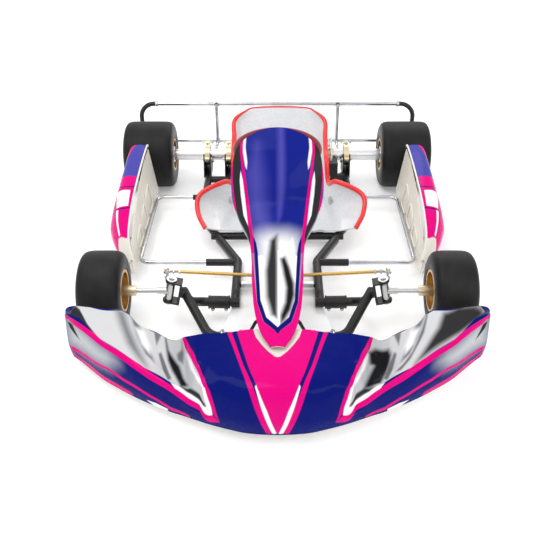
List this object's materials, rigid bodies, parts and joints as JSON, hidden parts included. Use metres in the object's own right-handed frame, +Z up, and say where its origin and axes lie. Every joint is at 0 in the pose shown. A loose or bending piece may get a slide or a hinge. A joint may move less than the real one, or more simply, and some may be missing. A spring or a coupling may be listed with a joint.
{
  "type": "kart chassis",
  "caption": "Racing kart chassis on four slick tyres: bent-tube frame, linked steering, pedals, braked axle, bucket seat, bumpers and bodywork.",
  "frame": {"origin": "on the ground, under the middle of the box round the kart", "axes": "+Z up, the kart faces -Y, +X is the driver's left"},
  "size_m": [1.313, 1.8319, 0.57],
  "materials": {
    "powder_coat_black": "satin",
    "plated_steel": "satin",
    "chrome_tube": "polished",
    "floor_white": "satin",
    "rubber_black": "matt",
    "body_blue": "gloss",
    "body_pink": "gloss",
    "pod_blue": "gloss",
    "ivory_plastic": "satin",
    "seat_grey": "satin",
    "seat_red": "satin",
    "pale_gold": "anodised",
    "aluminium_plain": "machined",
    "wheel_grip": "suede",
    "spider_black": "satin",
    "rod_gold": "anodised",
    "rim_bronze": "anodised",
    "tyre_rubber": "matt"
  },
  "bodies": {
    "chassis": {"rail_left": "powder_coat_black", "rail_right": "powder_coat_black", "rail_middle": "powder_coat_black", "front_hoop": "powder_coat_black", "front_bars": "powder_coat_black", "seat_cross": "powder_coat_black", "rear_cross": "powder_coat_black", "column_foot": "powder_coat_black", "column_stay": "powder_coat_black", "yokes": "powder_coat_black", "kingpins": "plated_steel", "side_stubs": "powder_coat_black", "side_bar_left": "chrome_tube", "side_bar_right": "chrome_tube", "floor_tray": "floor_white", "tray_bolts": "plated_steel", "bumper_bars": "chrome_tube", "bumper_ends": "rubber_black", "bumper_struts": "chrome_tube", "nose_bar_lower": "chrome_tube", "nose_bar_upper": "chrome_tube", "nose_fairing": "body_pink", "front_panel": "body_blue", "panel_stay": "powder_coat_black", "pod_skin_left": "pod_blue", "pod_skin_right": "pod_blue", "pod_liner_left": "ivory_plastic", "pod_liner_right": "ivory_plastic", "seat_shell": "seat_grey", "seat_trim": "seat_red", "seat_brackets": "powder_coat_black", "carriers": "pale_gold", "carrier_bearings": "plated_steel", "carrier_stands": "powder_coat_black", "caliper": "powder_coat_black", "pedal_brackets": "powder_coat_black"},
    "steering": {"column": "plated_steel", "steering_rim": "wheel_grip", "wheel_spider": "spider_black", "pitman": "powder_coat_black"},
    "spindle_left": {"spindle_left": "plated_steel"},
    "spindle_right": {"spindle_right": "plated_steel"},
    "tie_rod_left": {"tie_rod_left": "rod_gold"},
    "tie_rod_right": {"tie_rod_right": "rod_gold"},
    "brake_pedal": {"brake_pedal": "aluminium_plain"},
    "throttle_pedal": {"throttle_pedal": "aluminium_plain"},
    "wheel_front_left": {"hub_front_left": "pale_gold", "rim_front_left": "rim_bronze", "tyre_front_left": "tyre_rubber"},
    "wheel_front_right": {"hub_front_right": "pale_gold", "rim_front_right": "rim_bronze", "tyre_front_right": "tyre_rubber"},
    "rear_axle": {"rear_axle": "plated_steel", "rear_hubs": "aluminium_plain", "rear_rims": "rim_bronze", "tyre_rear_left": "tyre_rubber", "tyre_rear_right": "tyre_rubber", "brake_disc": "pale_gold", "disc_hub": "pale_gold"}
  },
  "joints": [
    {"name": "steer", "type": "hinge", "parent": "chassis", "child": "steering", "pos_m": [0, 0.061, 0.43045], "axis": [0, 0.766, 0.6428], "range_deg": [-28, 28]},
    {"name": "kingpin_left", "type": "hinge", "parent": "chassis", "child": "spindle_left", "pos_m": [0.3465, -0.362, 0.1315], "axis": [-0.2036, 0, 0.9791], "range_deg": [-12.1, 12.1]},
    {"name": "kingpin_right", "type": "hinge", "parent": "chassis", "child": "spindle_right", "pos_m": [-0.3465, -0.362, 0.1315], "axis": [0.2036, 0, 0.9791], "range_deg": [-12.1, 12.1]},
    {"name": "rod_end_left", "type": "hinge", "parent": "spindle_left", "child": "tie_rod_left", "pos_m": [0.371, -0.246, 0.13], "axis": [0.65, 0, -0.76], "range_deg": [-14.9, 14.9]},
    {"name": "rod_end_right", "type": "hinge", "parent": "spindle_right", "child": "tie_rod_right", "pos_m": [-0.371, -0.246, 0.13], "axis": [0.65, 0, 0.76], "range_deg": [-14.9, 14.9]},
    {"name": "front_wheel_left", "type": "hinge", "parent": "spindle_left", "child": "wheel_front_left", "pos_m": [0.5, -0.362, 0.13], "axis": [1, 0, 0], "continuous": true},
    {"name": "front_wheel_right", "type": "hinge", "parent": "spindle_right", "child": "wheel_front_right", "pos_m": [-0.5, -0.362, 0.13], "axis": [1, 0, 0], "continuous": true},
    {"name": "axle_spin", "type": "hinge", "parent": "chassis", "child": "rear_axle", "pos_m": [0, 0.683, 0.142], "axis": [1, 0, 0], "continuous": true},
    {"name": "brake_press", "type": "hinge", "parent": "chassis", "child": "brake_pedal", "pos_m": [0.042, -0.486, 0.092], "axis": [1, 0, 0], "range_deg": [0, 18], "stiffness_Nm_per_rad": 1.2, "springref_deg": -17.19},
    {"name": "throttle_press", "type": "hinge", "parent": "chassis", "child": "throttle_pedal", "pos_m": [-0.042, -0.486, 0.092], "axis": [1, 0, 0], "range_deg": [0, 18], "stiffness_Nm_per_rad": 1.2, "springref_deg": -17.19}
  ],
  "couplings": [
    {"joint": "kingpin_left", "follows": "steer", "ratio": 0.43},
    {"joint": "kingpin_right", "follows": "steer", "ratio": 0.43},
    {"joint": "rod_end_left", "follows": "steer", "ratio": 0.53},
    {"joint": "rod_end_right", "follows": "steer", "ratio": -0.53}
  ]
}
